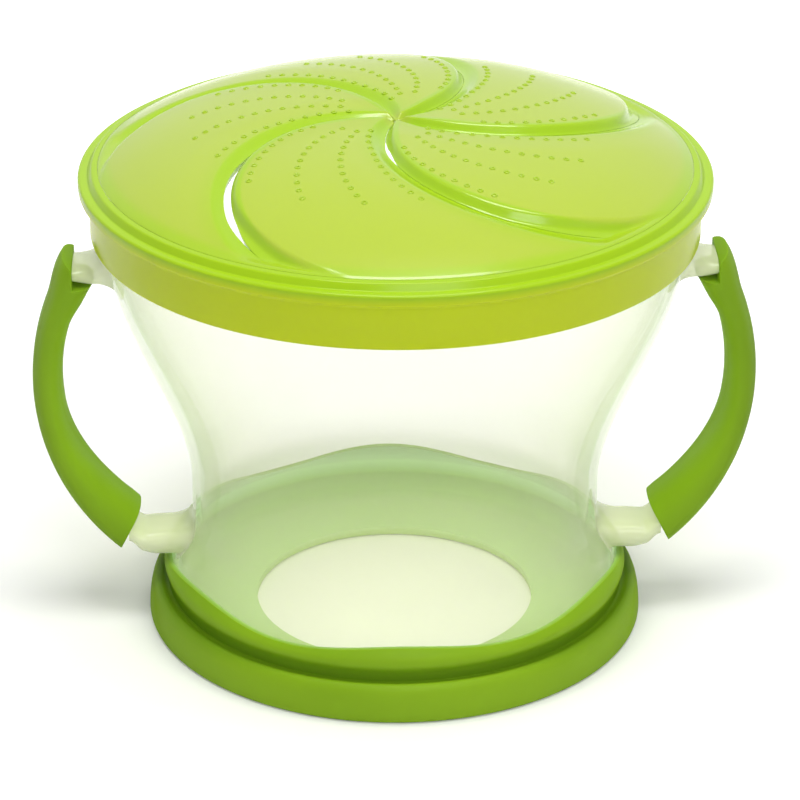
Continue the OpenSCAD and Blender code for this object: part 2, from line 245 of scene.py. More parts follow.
camera_data = bpy.data.cameras.new("camera")
camera_data.sensor_width = SENSOR
camera_data.lens = LENS
camera_data.clip_start = 0.01
camera_data.clip_end = 20
camera = bpy.data.objects.new("camera", camera_data)
bpy.context.scene.collection.objects.link(camera)
camera.rotation_mode = "QUATERNION"
camera.location = TARGET + BACK * DISTANCE
camera.rotation_quaternion = (BACK.to_track_quat("Z", "Y")
                              @ Euler((0, 0, ROLL)).to_quaternion())
bpy.context.scene.camera = camera
bpy.context.scene.view_settings.view_transform = "Standard"
print("camera at", [round(v, 3) for v in camera.location])


# %% Node helpers
def new_material(name):
    material = bpy.data.materials.new(name)
    material.use_nodes = True
    nodes = material.node_tree.nodes
    links = material.node_tree.links
    return material, nodes, links, nodes["Principled BSDF"]


def node(nodes, kind, **values):
    made = nodes.new(kind)
    for key, value in values.items():
        if hasattr(made, key):
            setattr(made, key, value)
        else:
            made.inputs[key.replace("_", " ")].default_value = value
    return made


def colour(red, green, blue):
    """An sRGB colour of 0-255 as the linear values that a shader wants."""
    def linear(v):
        v /= 255
        return v / 12.92 if v < 0.04045 else ((v + 0.055) / 1.055) ** 2.4
    return (linear(red), linear(green), linear(blue), 1)


def ramp(nodes, links, source, low, high, start=0.0, end=1.0):
    """Turns a grey value into a colour between two colours."""
    made = nodes.new("ShaderNodeValToRGB")
    made.color_ramp.elements[0].position = start
    made.color_ramp.elements[0].color = low
    made.color_ramp.elements[1].position = end
    made.color_ramp.elements[1].color = high
    links.new(source, made.inputs["Fac"])
    return made.outputs["Color"]


def spread(nodes, links, source, low, high, start=0.0, end=1.0, kind="LINEAR"):
    """Carries a value from the span start-end over to the span low-high."""
    made = node(nodes, "ShaderNodeMapRange", interpolation_type=kind, From_Min=start,
                From_Max=end, To_Min=low, To_Max=high)
    links.new(source, made.inputs["Value"])
    return made.outputs["Result"]


def calculated(nodes, links, operation, *terms):
    """A calculation whose terms are decimal numbers or other nodes' outputs."""
    made = node(nodes, "ShaderNodeMath", operation=operation)
    for socket, term in zip(made.inputs, terms):
        if isinstance(term, float):
            socket.default_value = term
        else:
            links.new(term, socket)
    return made.outputs[0]


def noise(nodes, links, place, scale, detail):
    """Noise in the piece's own coordinates."""
    made = node(nodes, "ShaderNodeTexNoise", Scale=scale, Detail=detail)
    links.new(place.outputs["Object"], made.inputs["Vector"])
    return made.outputs["Fac"]


def rough_up(nodes, links, shader, height, strength, distance):
    """Lets a height tilt the surface a little."""
    bump = node(nodes, "ShaderNodeBump", Strength=strength, Distance=distance)
    links.new(height, bump.inputs["Height"])
    links.new(bump.outputs["Normal"], shader.inputs["Normal"])


def white_for_eye(nodes, links):
    """1 where the eye looks straight, in a reflection or through something clear."""
    path = nodes.new("ShaderNodeLightPath")
    seen = calculated(nodes, links, "MAXIMUM", path.outputs["Is Camera Ray"],
                      path.outputs["Is Glossy Ray"])
    return calculated(nodes, links, "MAXIMUM", seen, path.outputs["Is Transmission Ray"])


# %% Room
AMBIENT = 0.42           # how strongly the room lights the piece
SIDE_SHARE = 0.2         # the part of it that is left at the far left and right
SIDE_SPAN = (0.25, 0.95)  # how far sideways a direction points as the dimming comes in
DARKER_LEFT = 0.06       # moves the bright middle a little to the right

world = bpy.data.worlds.new("studio")
bpy.context.scene.world = world
world.use_nodes = True
nodes, links = world.node_tree.nodes, world.node_tree.links
background = nodes["Background"]
background.inputs["Color"].default_value = (1, 1, 1, 1)
direction = nodes.new("ShaderNodeTexCoord")
parts = nodes.new("ShaderNodeSeparateXYZ")
links.new(direction.outputs["Generated"], parts.inputs[0])
uneven = calculated(nodes, links, "SUBTRACT", parts.outputs["X"], DARKER_LEFT)
sideways = calculated(nodes, links, "ABSOLUTE", uneven)
dimmed = spread(nodes, links, sideways, AMBIENT, AMBIENT * SIDE_SHARE, *SIDE_SPAN)
strength = node(nodes, "ShaderNodeMapRange", To_Max=1.0)
links.new(dimmed, strength.inputs["To Min"])
links.new(white_for_eye(nodes, links), strength.inputs["Value"])
links.new(strength.outputs["Result"], background.inputs["Strength"])

# %% Floor
FLOOR_DROP = 0.00005     # in metres under the boot, so that the two faces lie apart
SHADOW_GLOW = 0.16       # the floor's own light, for the eye, near the boot
FAR_GLOW = 0.9           # and far away, where the floor melts into the white
SHADOW_REACH = (0.08, 0.3)     # distances in metres between which the glow grows
UNDER_CUP = (0.025, 0.04)      # and those within which the floor has none at all

deselect()
bpy.ops.mesh.primitive_plane_add(size=6, location=(0, 0, -FLOOR_DROP))
floor = bpy.context.object
floor.name = "floor"
floor_paint, nodes, links, shader = new_material("white_floor")
shader.inputs["Base Color"].default_value = (0.86, 0.86, 0.85, 1)
shader.inputs["Roughness"].default_value = 0.9
shader.inputs["Specular IOR Level"].default_value = 0.0
shader.inputs["Emission Color"].default_value = (1, 1, 1, 1)
place = nodes.new("ShaderNodeTexCoord")
far = node(nodes, "ShaderNodeVectorMath", operation="LENGTH")
links.new(place.outputs["Object"], far.inputs[0])
grows = spread(nodes, links, far.outputs["Value"], SHADOW_GLOW, FAR_GLOW,
               *SHADOW_REACH, kind="SMOOTHSTEP")
past_hole = spread(nodes, links, far.outputs["Value"], 0.0, 1.0,
                   *UNDER_CUP, kind="SMOOTHSTEP")
in_the_open = calculated(nodes, links, "MULTIPLY", grows, past_hole)
glow = calculated(nodes, links, "MULTIPLY", white_for_eye(nodes, links), in_the_open)
links.new(glow, shader.inputs["Emission Strength"])
floor.data.materials.append(floor_paint)
floor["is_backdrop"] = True


# %% Lamps
def softbox(name, place, aim, size, power):
    """A rectangular lamp; places and sizes in metres, power in watts."""
    lamp_data = bpy.data.lights.new(name, "AREA")
    lamp_data.shape = "RECTANGLE"
    lamp_data.size, lamp_data.size_y = size
    lamp_data.energy = power
    lamp = bpy.data.objects.new(name, lamp_data)
    bpy.context.scene.collection.objects.link(lamp)
    lamp.location = place
    lamp.rotation_euler = (Vector(place) - Vector(aim)).to_track_quat("Z", "Y").to_euler()
    return lamp


softbox("softbox_above", place=(0.02, -0.1, 1.0), aim=(0, 0, 0.04),
        size=(0.6, 0.3), power=7.5)
softbox("softbox_front", place=(0.16, -0.9, 0.85), aim=(0, 0, 0.05),
        size=(0.5, 0.35), power=2.9)
softbox("softbox_front_right", place=(0.75, -0.7, 0.45), aim=(0, 0, 0.05),
        size=(0.3, 0.5), power=0.2)
inner_glow = softbox("light_through_lid", place=(0, -0.022, 0.062),
                     aim=(0, 0.033, 0.012), size=(0.03, 0.03), power=0.0245)
inner_glow.data.color = (1.0, 1.0, 0.84)
inner_glow.visible_camera = False
inner_glow.visible_glossy = False

# %% [markdown]
# ## Finishes
#
# Four plastics: clear hard plastic for the cup, the same in milky form for the thick
# handle arms, a matt soft green for grips and boot, and a thinner green that lets
# light through for the lid. The clear one is mostly see-through. It is less so where
# it is seen edge-on, and there a faint painted glow stands in for the light that
# travels inside the wall. Attributes on the points of the mesh change the greens from
# place to place: one paints light on the boot's inside, which is seen through the cup,
# with a painted highlight along the collar's edge; one paints shade in the valley above
# the foot; and "band" deepens the lid's colour where the panel dips towards a slit,
# partly as painted shade on the steep faces and partly as the deeper look of the
# thicker translucent sheet.

# %% Softer shadows under clear pieces
def softer_for_shadows(nodes, links, source, share):
    """The same value for the eye, but only a share of it for light on its way."""
    path = nodes.new("ShaderNodeLightPath")
    less = spread(nodes, links, path.outputs["Is Shadow Ray"], 1.0, share)
    return calculated(nodes, links, "MULTIPLY", source, less)


# %% Clear plastic
CLEAR_EDGE = 2.6         # the higher, the later the wall closes up towards its edges
CLEAR_COVER = (0.062, 0.7)     # how much it hides, face-on and edge-on
# a painted glow of the wall where it is seen edge-on, for the light carried inside it
CLEAR_GLOW = 0.12
CLEAR_SHADOW = 0.3

clear, nodes, links, shader = new_material("clear_plastic")
shader.inputs["Roughness"].default_value = 0.06
shader.inputs["IOR"].default_value = 1.5
place = nodes.new("ShaderNodeTexCoord")
edge_on = node(nodes, "ShaderNodeLayerWeight", Blend=0.5)
steeply = calculated(nodes, links, "POWER", edge_on.outputs["Facing"], CLEAR_EDGE)
tint = calculated(nodes, links, "MULTIPLY_ADD", noise(nodes, links, place, 22.0, 3.0),
                  0.12, steeply)
links.new(ramp(nodes, links, tint, colour(250, 252, 218), colour(200, 219, 182)),
          shader.inputs["Base Color"])
# painted glow where the wall is seen edge-on
shader.inputs["Emission Color"].default_value = colour(236, 246, 222)
links.new(calculated(nodes, links, "MULTIPLY", steeply, CLEAR_GLOW),
          shader.inputs["Emission Strength"])
see = spread(nodes, links, steeply, *CLEAR_COVER)
links.new(softer_for_shadows(nodes, links, see, CLEAR_SHADOW), shader.inputs["Alpha"])
rough_up(nodes, links, shader, noise(nodes, links, place, 38.0, 1.0), 0.04, 0.001)

# %% Milky plastic of the handle arms
milky, nodes, links, shader = new_material("milky_plastic")
shader.inputs["Roughness"].default_value = 0.2
shader.inputs["Alpha"].default_value = 0.66
place = nodes.new("ShaderNodeTexCoord")
links.new(ramp(nodes, links, noise(nodes, links, place, 60.0, 2.0),
               colour(229, 237, 188), colour(236, 243, 204)), shader.inputs["Base Color"])


# %% Soft green
def mixed(nodes, links, share, first, second):
    """Moves from the first colour to the second by the attribute called share."""
    amount = nodes.new("ShaderNodeAttribute")
    amount.attribute_name = share
    mix = node(nodes, "ShaderNodeMix", data_type="RGBA")
    links.new(amount.outputs["Fac"], mix.inputs["Factor"])
    links.new(first, mix.inputs[6])
    mix.inputs[7].default_value = second
    return mix.outputs[2]


def soft_green(name, deep, bright):
    """Matt soft plastic with a fine grain and slow changes of colour."""
    material, nodes, links, shader = new_material(name)
    place = nodes.new("ShaderNodeTexCoord")
    grain = noise(nodes, links, place, 2600.0, 2.0)
    base = ramp(nodes, links, noise(nodes, links, place, 30.0, 2.0), deep, bright, 0.3, 0.7)
    # painted light where the boot's inside is seen through the cup, painted shade in the
    # valley
    with_painted_light = mixed(nodes, links, "painted_light", base, colour(212, 255, 200))
    shaded = mixed(nodes, links, "painted_shade", with_painted_light, colour(88, 124, 14))
    links.new(shaded, shader.inputs["Base Color"])
    links.new(spread(nodes, links, grain, 0.36, 0.5), shader.inputs["Roughness"])
    rough_up(nodes, links, shader, grain, 0.12, 0.0001)
    turned_away = node(nodes, "ShaderNodeLayerWeight", Blend=0.5)
    links.new(spread(nodes, links, turned_away.outputs["Facing"], 0.13, 0.01, 0.35, 0.75),
              shader.inputs["Specular IOR Level"])
    shader.inputs["Subsurface Weight"].default_value = 0.1
    shader.inputs["Subsurface Radius"].default_value = (0.6, 1.0, 0.15)
    shader.inputs["Subsurface Scale"].default_value = 0.003
    return material


grip_green = soft_green("grip_green", deep=colour(119, 156, 24), bright=colour(130, 168, 30))
boot_green = soft_green("boot_green", deep=colour(134, 174, 28), bright=colour(144, 184, 34))


# %% Lid green
LID_SHADOW = 0.55


def lid_plastic(name, flat, deep, cover, gloss):
    """Soft plastic that lets light through; 'band' moves it from flat to deep.

    cover is how much it hides, flat and deep; gloss is face-on and edge-on.
    """
    material, nodes, links, shader = new_material(name)
    place = nodes.new("ShaderNodeTexCoord")
    band = nodes.new("ShaderNodeAttribute")
    band.attribute_name = "band"
    uneven = spread(nodes, links, noise(nodes, links, place, 26.0, 2.0), -0.06, 0.06)
    depth = node(nodes, "ShaderNodeMath", operation="ADD", use_clamp=True)
    links.new(band.outputs["Fac"], depth.inputs[0])
    links.new(uneven, depth.inputs[1])
    links.new(ramp(nodes, links, depth.outputs[0], flat, deep), shader.inputs["Base Color"])
    see = spread(nodes, links, depth.outputs[0], *cover)
    links.new(softer_for_shadows(nodes, links, see, LID_SHADOW), shader.inputs["Alpha"])
    turned_away = node(nodes, "ShaderNodeLayerWeight", Blend=0.5)
    links.new(spread(nodes, links, turned_away.outputs["Facing"], *gloss, 0.58, 0.8),
              shader.inputs["Specular IOR Level"])
    shader.inputs["Roughness"].default_value = 0.22
    shader.inputs["Coat Weight"].default_value = gloss[1] * 0.25
    shader.inputs["Coat Roughness"].default_value = 0.05
    rough_up(nodes, links, shader, noise(nodes, links, place, 55.0, 2.0), 0.05, 0.001)
    return material


panel_green = lid_plastic("panel_green", flat=colour(177, 199, 50), deep=colour(160, 198, 2),
                          cover=(0.91, 0.97), gloss=(0.38, 0.5))
rim_green = lid_plastic("rim_green", flat=colour(200, 218, 16), deep=colour(162, 200, 16),
                        cover=(0.96, 0.98), gloss=(0.2, 0.09))
print("finishes:", [m.name for m in bpy.data.materials])


# %% [markdown]
# ## The clear cup
#
# The cup is one moulding with an even wall. Its outline swells slowly from a narrow
# waist to the rim and flares a little at the foot. A turned shape is right here: the
# outer line is worked out point by point, and the inner line is the same line moved
# inwards at right angles by the wall's thickness.

# %% Cup outline
def cup_r(z):
    """The cup's outer radius at a height."""
    if z >= WAIST_Z:
        swell = smooth((z - RISE_Z) / (SHOULDER_Z - RISE_Z))
        return CUP_WAIST_R + (CUP_TOP_R - CUP_WAIST_R) * swell
    flare = smooth((WAIST_Z - z) / (WAIST_Z - FLARE_Z))
    return CUP_WAIST_R + (CUP_BASE_R - CUP_WAIST_R) * flare


def wall_point(z, out=0.0):
    """A point that lies a distance out from the cup's wall, at right angles to it."""
    lean = (cup_r(z + 0.01) - cup_r(z - 0.01)) / 0.02
    return (cup_r(z) + out * sqrt(1 + lean * lean), z)


BEAD_OUT = 0.5           # the bead under the rim that the lid snaps over
BEAD_LOW = 75.2
BEAD_FULL = 75.8
BEAD_TOP = 76.9
WALL_STEPS = 72

corner = arc(CUP_BASE_R - CORNER_R, BOOT_FLOOR + CORNER_R, CORNER_R, -90, 0, 12)
wall_heights = [FLARE_Z + (SHOULDER_Z - FLARE_Z) * i / WALL_STEPS
                for i in range(WALL_STEPS + 1)]
outer = corner + [wall_point(z) for z in wall_heights]
rim = [(CUP_TOP_R, BEAD_LOW), (CUP_TOP_R + BEAD_OUT, BEAD_FULL),
       (CUP_TOP_R + BEAD_OUT, BEAD_TOP), (CUP_TOP_R + 0.2, CUP_H),
       (CUP_TOP_R - 1.0, CUP_H), (CUP_TOP_R - WALL, BEAD_TOP)]
inner_corner = [(r, z + FLOOR - WALL) for r, z in
                arc(CUP_BASE_R - CORNER_R, BOOT_FLOOR + CORNER_R, CORNER_R - WALL,
                    -90, 0, 10)]
inner = inner_corner + [wall_point(z, -WALL) for z in wall_heights]

cup = turned("cup", [(0, BOOT_FLOOR)] + outer + rim + inner[::-1]
             + [(0, BOOT_FLOOR + FLOOR)])
smooth_faces(cup, 40)
cup.data.materials.append(clear)
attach(cup, "cup")
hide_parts("cup_body")
print("cup faces:", len(cup.data.polygons))

# %% [markdown]
# ## The soft boot
#
# The boot is moulded over the cup's foot. A heavy ring meets the table, a soft
# valley runs above it, and a thin collar bulges a little and climbs the flare in six
# gentle waves. It is turned with a level collar first. Then the collar's points are
# moved up or down, ring by ring, so that the edge becomes a wave while the foot stays
# level.

# %% Boot sizes
FOOT_R = 40.6
FOOT_EDGE = 0.7          # rounding where the foot's side meets the table
# the foot's side, its rounded top and the valley, as distance in from FOOT_R and height
FOOT_SIDE = ((0.05, 2.0), (0.2, 3.4), (0.45, 4.6), (0.75, 5.4), (1.1, 5.95), (1.5, 6.2),
             (1.9, 6.2), (2.3, 6.0), (2.7, 5.85), (3.1, 6.0), (3.22, 6.5), (3.2, 7.3),
             (3.05, 7.8))
BOOT_WALL = 1.0
HOLE_R = 22.8
WAVES = 6
WAVE_Z = 9.6
WAVE_HEIGHT = 1.1
FRONT_RISE = 1.1         # how much higher the collar's edge runs in front
COLLAR_Z = 8.2
COLLAR_ROWS = 8
SKIN = 0.04              # keeps the boot's inside just off the cup


def wave_at(angle):
    """Height of the collar's edge: gentle waves behind, fainter and higher in front."""
    front = smooth(0.5 - sin(angle))
    return (WAVE_Z + FRONT_RISE * front
            + WAVE_HEIGHT * (1.1 - 0.6 * front) * cos(WAVES * (angle - pi / 2)))


# %% Boot
foot = ([(HOLE_R, 0.5), (HOLE_R + 0.5, 0.0), (FOOT_R - 0.8, 0.0)]
        + arc(FOOT_R - FOOT_EDGE, FOOT_EDGE, FOOT_EDGE, -75, 0, 5)
        + [(FOOT_R - inwards, z) for inwards, z in FOOT_SIDE])
collar_heights = [COLLAR_Z + (WAVE_Z - COLLAR_Z) * i / COLLAR_ROWS
                  for i in range(COLLAR_ROWS + 1)]
collar_out = [wall_point(z, BOOT_WALL * (0.75 + 0.35 * sin(pi * i / COLLAR_ROWS)))
              for i, z in enumerate(collar_heights)]
collar_in = [wall_point(z, SKIN) for z in collar_heights[::-1]]
under_cup = [(r, z - SKIN) for r, z in corner[::-1]]
boot = turned("boot", foot + collar_out + collar_in + under_cup
              + [(HOLE_R, BOOT_FLOOR - SKIN)])

for point in boot.data.vertices:
    x, y, z = point.co / MM
    r = hypot(x, y)
    if z >= COLLAR_Z - 0.001 and r > CUP_BASE_R - 3:
        angle = atan2(y, x)
        share = (z - COLLAR_Z) / (WAVE_Z - COLLAR_Z)
        out = r - wall_point(z)[0]
        new_z = COLLAR_Z + share * (wave_at(angle) - COLLAR_Z)
        new_r = wall_point(new_z)[0] + out
        point.co = Vector((new_r * cos(angle), new_r * sin(angle), new_z)) * MM


# %% Boot finish
COLLAR_PAINTED_LIGHT = 0.95       # painted light: how pale the collar's inside is
EDGE_PAINTED_HIGHLIGHT = 0.25         # painted highlight along the collar's edge
FLOOR_PAINTED_LIGHT = 0.26        # painted light under the cup's floor, more towards the back
VALLEY_PAINTED_SHADE = 0.68      # painted shade in the valley


def backs_cup(x, y, z):
    """True for the boot's inside, which is seen through the clear cup."""
    return hypot(x, y) - wall_point(z)[0] < 0.2 and z > BOOT_FLOOR - 0.1


def painted_light_at(x, y, z):
    """Painted light on the inside: strong on the collar, weaker on the floor."""
    if not backs_cup(x, y, z):
        return 0.0
    if z > COLLAR_Z and z > wave_at(atan2(y, x)) - 0.05:
        return EDGE_PAINTED_HIGHLIGHT
    return COLLAR_PAINTED_LIGHT if z > 5.5 else FLOOR_PAINTED_LIGHT * smooth((y + 28) / 22)


def painted_shade_at(x, y, z):
    """Painted shade in the valley, which reaches further out at the two sides."""
    r = hypot(x, y)
    side = smooth((abs(x) / r - 0.25) / 0.6)
    if backs_cup(x, y, z) or z < 5.8 - 1.3 * side:
        return 0.0
    return (VALLEY_PAINTED_SHADE * smooth((FOOT_R - 1.2 + 1.1 * side - r) / 1.6)
            * (1 - smooth((z - 7.3) / 1.8)))


places = [point.co / MM for point in boot.data.vertices]
note_on_points(boot, "painted_light", [painted_light_at(*place) for place in places])
note_on_points(boot, "painted_shade", [painted_shade_at(*place) for place in places])
smooth_faces(boot, 42)
boot.data.materials.append(boot_green)
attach(boot, "cup")
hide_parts("base_boot")
print("boot faces:", len(boot.data.polygons))

# %% [markdown]
# ## The handle grips
#
# A soft sleeve is moulded over each handle bow. It is a flat oval bar bent to an arc:
# the spin operator carries an oval outline round the bow's centre. Then its lower end
# swells towards the cup and is cut at a slant, its upper end flares, and a notch at
# the top lets the arm through. Last, all edges are softened.

# %% Grips
BOW_R = 37.0
BOW_X = 19.0
BOW_Z = 41.7
GRIP_T = 4.8
GRIP_W = 11.5
GRIP_TOP = 33.0          # the sleeve's ends, in degrees from level
GRIP_LOW = -48.5
GRIP_SQUARE = 0.8
GRIP_EDGE = 1.1
LOW_SWELL = 2.6
TOP_SWELL = 0.7
TOP_FLARE = 1.1
END_SLANT = 3.4
NOTCH_PLACE = (41.3, 0, 69.3)      # middle of the block that is cut out
NOTCH_SIZE = (20, 30, 20)


def oval(thick, wide, count=40):
    """Points of a rounded bar's section: thick across the bow, wide along Y."""
    turns = [2 * pi * i / count for i in range(count)]
    return [(thick / 2 * signed_power(cos(a), GRIP_SQUARE),
             wide / 2 * signed_power(sin(a), GRIP_SQUARE)) for a in turns]


def shape_ends(piece):
    """Swells, flares and slants the ends of the bent bar."""
    for point in piece.data.vertices:
        x, z = point.co.x / MM - BOW_X, point.co.z / MM - BOW_Z
        angle, r = degrees(atan2(z, x)), hypot(x, z)
        inwards = max(0, BOW_R - r) / (GRIP_T / 2)
        outwards = max(0, r - BOW_R) / (GRIP_T / 2)
        r -= inwards * (LOW_SWELL * smooth((-8 - angle) / 40)
                        + TOP_SWELL * smooth((angle - 17) / 9))
        r += outwards * TOP_FLARE * smooth((angle - 21) / 11)
        angle += (1 + inwards - outwards) / 2 * END_SLANT * smooth((-38 - angle) / 10)
        point.co.x = (BOW_X + r * cos(radians(angle))) * MM
        point.co.z = (BOW_Z + r * sin(radians(angle))) * MM


def make_grip(name):
    section = oval(GRIP_T, GRIP_W)
    deselect()
    bpy.ops.mesh.primitive_circle_add(vertices=len(section), radius=1, fill_type="NGON")
    piece = bpy.context.object
    piece.name = name
    start = radians(GRIP_TOP)
    for point, (t, w) in zip(piece.data.vertices, section):
        r = BOW_R + t
        point.co = Vector((BOW_X + r * cos(start), w, BOW_Z + r * sin(start))) * MM
    edit(piece)
    bpy.ops.mesh.spin(steps=48, angle=radians(GRIP_TOP - GRIP_LOW),
                      center=(BOW_X * MM, 0, BOW_Z * MM), axis=(0, -1, 0))
    merge_points()
    face_outwards()
    leave_edit()
    shape_ends(piece)
    return piece


def cut_notch(piece):
    """Takes a block out of the sleeve's upper end, where the arm comes through."""
    deselect()
    bpy.ops.mesh.primitive_cube_add(size=1, location=[v * MM for v in NOTCH_PLACE])
    notch = bpy.context.object
    notch.scale = [v * MM for v in NOTCH_SIZE]
    place_in_mesh(notch)
    cut = piece.modifiers.new("notch_for_arm", "BOOLEAN")
    cut.operation = "DIFFERENCE"
    cut.object = notch
    soft_edges(piece, GRIP_EDGE, 4, 50)
    apply_modifiers(piece)
    bpy.data.objects.remove(notch)


grip_right = make_grip("grip_sleeve_right")
cut_notch(grip_right)
smooth_faces(grip_right, 40)
grip_right.data.materials.append(grip_green)
grip_left = copy_of(grip_right, "grip_sleeve_left")
turn_round(grip_left, 180)
for piece, side in ((grip_left, "left"), (grip_right, "right")):
    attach(piece, "cup")
    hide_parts("grip_" + side)
heights = [point.co.z / MM for point in grip_right.data.vertices]
print("grips from z", round(min(heights), 1), "to", round(max(heights), 1))

# %% [markdown]
# ## The handle arms
#
# Two milky arms carry each sleeve. An arm starts as a short turned post. Its points
# are then laid from the leaning wall out to the sleeve, with a fillet where it leaves
# the wall and a section that squares up a little and tapers towards the sleeve.

# %% Arms
ARM_W = 9.2
ARM_SQUARE = 0.75
ARM_ROOT = 0.6           # how far an arm starts inside the wall
ARM_RINGS = 28
ARM_SIDES = 40
TAPER_ABOVE = 0.2        # the part of its thickness that an arm loses towards the sleeve
TAPER_BELOW = 0.5


def make_arm(name, height, end_x, end_rise, thick, up_fillet, down_fillet):
    """A rounded bar from the cup's wall into the sleeve, filleted at the wall."""
    post = [(0, 0)] + [(1, i) for i in range(ARM_RINGS + 1)] + [(0, ARM_RINGS)]
    piece = turned(name, post, ARM_SIDES)
    for point in piece.data.vertices:
        x, y, ring = point.co / MM
        full = min(1, hypot(x, y))
        c, s = full * cos(atan2(y, x)), full * sin(atan2(y, x))
        share = (ring / ARM_RINGS) ** 1.5
        reach = share * (end_x - cup_r(height))
        fillet = up_fillet if c > 0 else down_fillet
        short = max(0, 1 - reach / fillet)
        grow = fillet * (1 - sqrt(max(0, 1 - short * short)))
        thinner = TAPER_ABOVE if c > 0 else TAPER_BELOW
        taper = 1 - thinner * smooth((share - 0.45) / 0.55)
        rise = end_rise * smooth((share - 0.75) / 0.25)
        z = height + rise + (thick / 2 * taper + grow) * signed_power(c, ARM_SQUARE)
        y = (ARM_W / 2 + 0.3 * grow) * signed_power(s, ARM_SQUARE)
        wall_x = cup_r(z) - ARM_ROOT
        point.co = Vector((wall_x + (end_x - wall_x) * share, y, z)) * MM
    edit(piece)
    face_outwards()
    leave_edit()
    return piece


top_arm = make_arm("handle_arm", height=61.0, end_x=52.4, end_rise=0.0, thick=3.5,
                   up_fillet=5.0, down_fillet=3.0)
low_arm = make_arm("handle_arm_low", height=13.2, end_x=43.6, end_rise=1.5, thick=5.0,
                   up_fillet=3.5, down_fillet=1.2)
arms_right = joined([top_arm, low_arm], "handle_arms_right")
smooth_faces(arms_right, 60)
arms_right.data.materials.append(milky)
arms_left = copy_of(arms_right, "handle_arms_left")
turn_round(arms_left, 180)
for piece, side in ((arms_left, "left"), (arms_right, "right")):
    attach(piece, "cup")
    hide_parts("handle_core_" + side)
print("arm faces:", len(arms_right.data.polygons))

# %% [markdown]
# ## The lid's rim
#
# The rim is a turned shape: a skirt that grips the cup, a flat brim with a rounded
# edge, and a step up to the domed panel. Inside the skirt six short beads snap over
# the cup's rim. Fine rounded corners matter more here than anywhere else, because each
# one draws a bright line round the whole lid.

# %% Rim sizes
SKIRT_IN = 47.3
SKIRT_R = 48.3
SKIRT_Z = 68.0
SKIRT_EDGE = 0.3
BRIM_R = 50.0
BRIM_Z = 77.5
BRIM_EDGE = 0.5
PANEL_EDGE_Z = 78.7
PANEL_R = 46.8
PANEL_RISE = 7.87        # leaves room for the raised rings under the full height
DOME_POWER = 3.3
PANEL_T = 1.1


def dome_z(r):
    """Height of the domed panel's top at a radius, without its grooves."""
    return PANEL_EDGE_Z + PANEL_RISE * (1 - (r / PANEL_R) ** DOME_POWER)


# %% Rim
skirt = (arc(SKIRT_IN + SKIRT_EDGE, SKIRT_Z + SKIRT_EDGE, SKIRT_EDGE, 180, 270, 4)
         + arc(SKIRT_R - SKIRT_EDGE, SKIRT_Z + SKIRT_EDGE, SKIRT_EDGE, -90, 0, 4)
         + [(SKIRT_R, 70.5), (SKIRT_R, 73.0), (SKIRT_R + 0.02, 74.4),
            (SKIRT_R + 0.12, 74.9), (SKIRT_R + 0.4, 75.25)])
brim = ([(BRIM_R - 0.9, 75.45)]
        + arc(BRIM_R - 0.55, BRIM_Z - 1.45, 0.55, -70, 0, 5)
        + arc(BRIM_R - BRIM_EDGE, BRIM_Z - BRIM_EDGE, BRIM_EDGE, 0, 90, 6))
step = (arc(SKIRT_R + 0.4, BRIM_Z + 0.3, 0.3, -90, -165, 4)
        + arc(PANEL_R + 0.75, PANEL_EDGE_Z - 0.55, 0.45, 20, 100, 5)
        + [(PANEL_R + 0.05, PANEL_EDGE_Z - 0.02)])
underside = [(PANEL_R + 0.05, CUP_H + 0.35), (SKIRT_IN - 0.2, CUP_H + 0.3),
             (SKIRT_IN, CUP_H + 0.1), (SKIRT_IN, 72.0)]
rim_piece = turned("lid_rim", skirt + brim + step + underside)
note_on_points(rim_piece, "band", [smooth((v.co.z / MM - BRIM_Z + 1.6) / 0.8)
                                   for v in rim_piece.data.vertices])
smooth_faces(rim_piece, 38)
rim_piece.data.materials.append(rim_green)
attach(rim_piece, "lid")
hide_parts("lid_ring")
print("rim faces:", len(rim_piece.data.polygons))

# %% Snap beads inside the skirt
SNAPS = 6
SNAP_Z = 74.1
SNAP_OUT = 0.25
SNAP_TALL = 0.6
SNAP_SWEEP = 25.0
SNAP_MIDDLE = 51.0       # where the middle of the first one lies


def make_bead():
    deselect()
    bpy.ops.mesh.primitive_circle_add(vertices=16, radius=1, fill_type="NGON")
    piece = bpy.context.object
    for point in piece.data.vertices:
        point.co = Vector((SKIRT_IN + 0.05 + SNAP_OUT * point.co.x, 0,
                           SNAP_Z + SNAP_TALL * point.co.y)) * MM
    edit(piece)
    bpy.ops.mesh.spin(steps=20, angle=radians(SNAP_SWEEP), center=(0, 0, 0), axis=(0, 0, 1))
    merge_points()
    face_outwards()
    leave_edit()
    return piece


beads = []
for k in range(SNAPS):
    bead = make_bead()
    turn_round(bead, SNAP_MIDDLE - SNAP_SWEEP / 2 + 360 / SNAPS * k)
    beads.append(bead)
snap_beads = joined(beads, "snap_beads")
smooth_faces(snap_beads, 50)
snap_beads.data.materials.append(rim_green)
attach(snap_beads, "lid")
print("bead faces:", len(snap_beads.data.polygons))

# %% [markdown]
# ## The swirl panel
#
# The domed panel is cut by five slits, each an arc of one circle through the middle.
# Beside every slit the panel dips into a groove with one steep side and one gentle
# side. No modifier makes such a form, so one flap starts as a flat grid and its points
# are laid on the swirl in code: one direction of the grid runs from the tip to the
# rim, the other from one slit to the next. Solidify then gives it its thickness.

# %% Swirl sizes
FLAPS = 5
SEG = 360 / FLAPS
SLIT_ARC_R = 24.2
SLIT_TURN = 31.0
SLIT_END_R = 44.0
SLIT_SHUT = 0.04         # half the width of a slit that is shut
GROOVE_DEPTH = 1.3
STEEP = 1.4
STEP = 2.8
SLOPE = 9.0
SCOOP = 1.2
TIP_R = 0.5
BORDER_R = 44.2          # the deeper colour round the panel's edge begins here
BORDER_BAND = 0.85


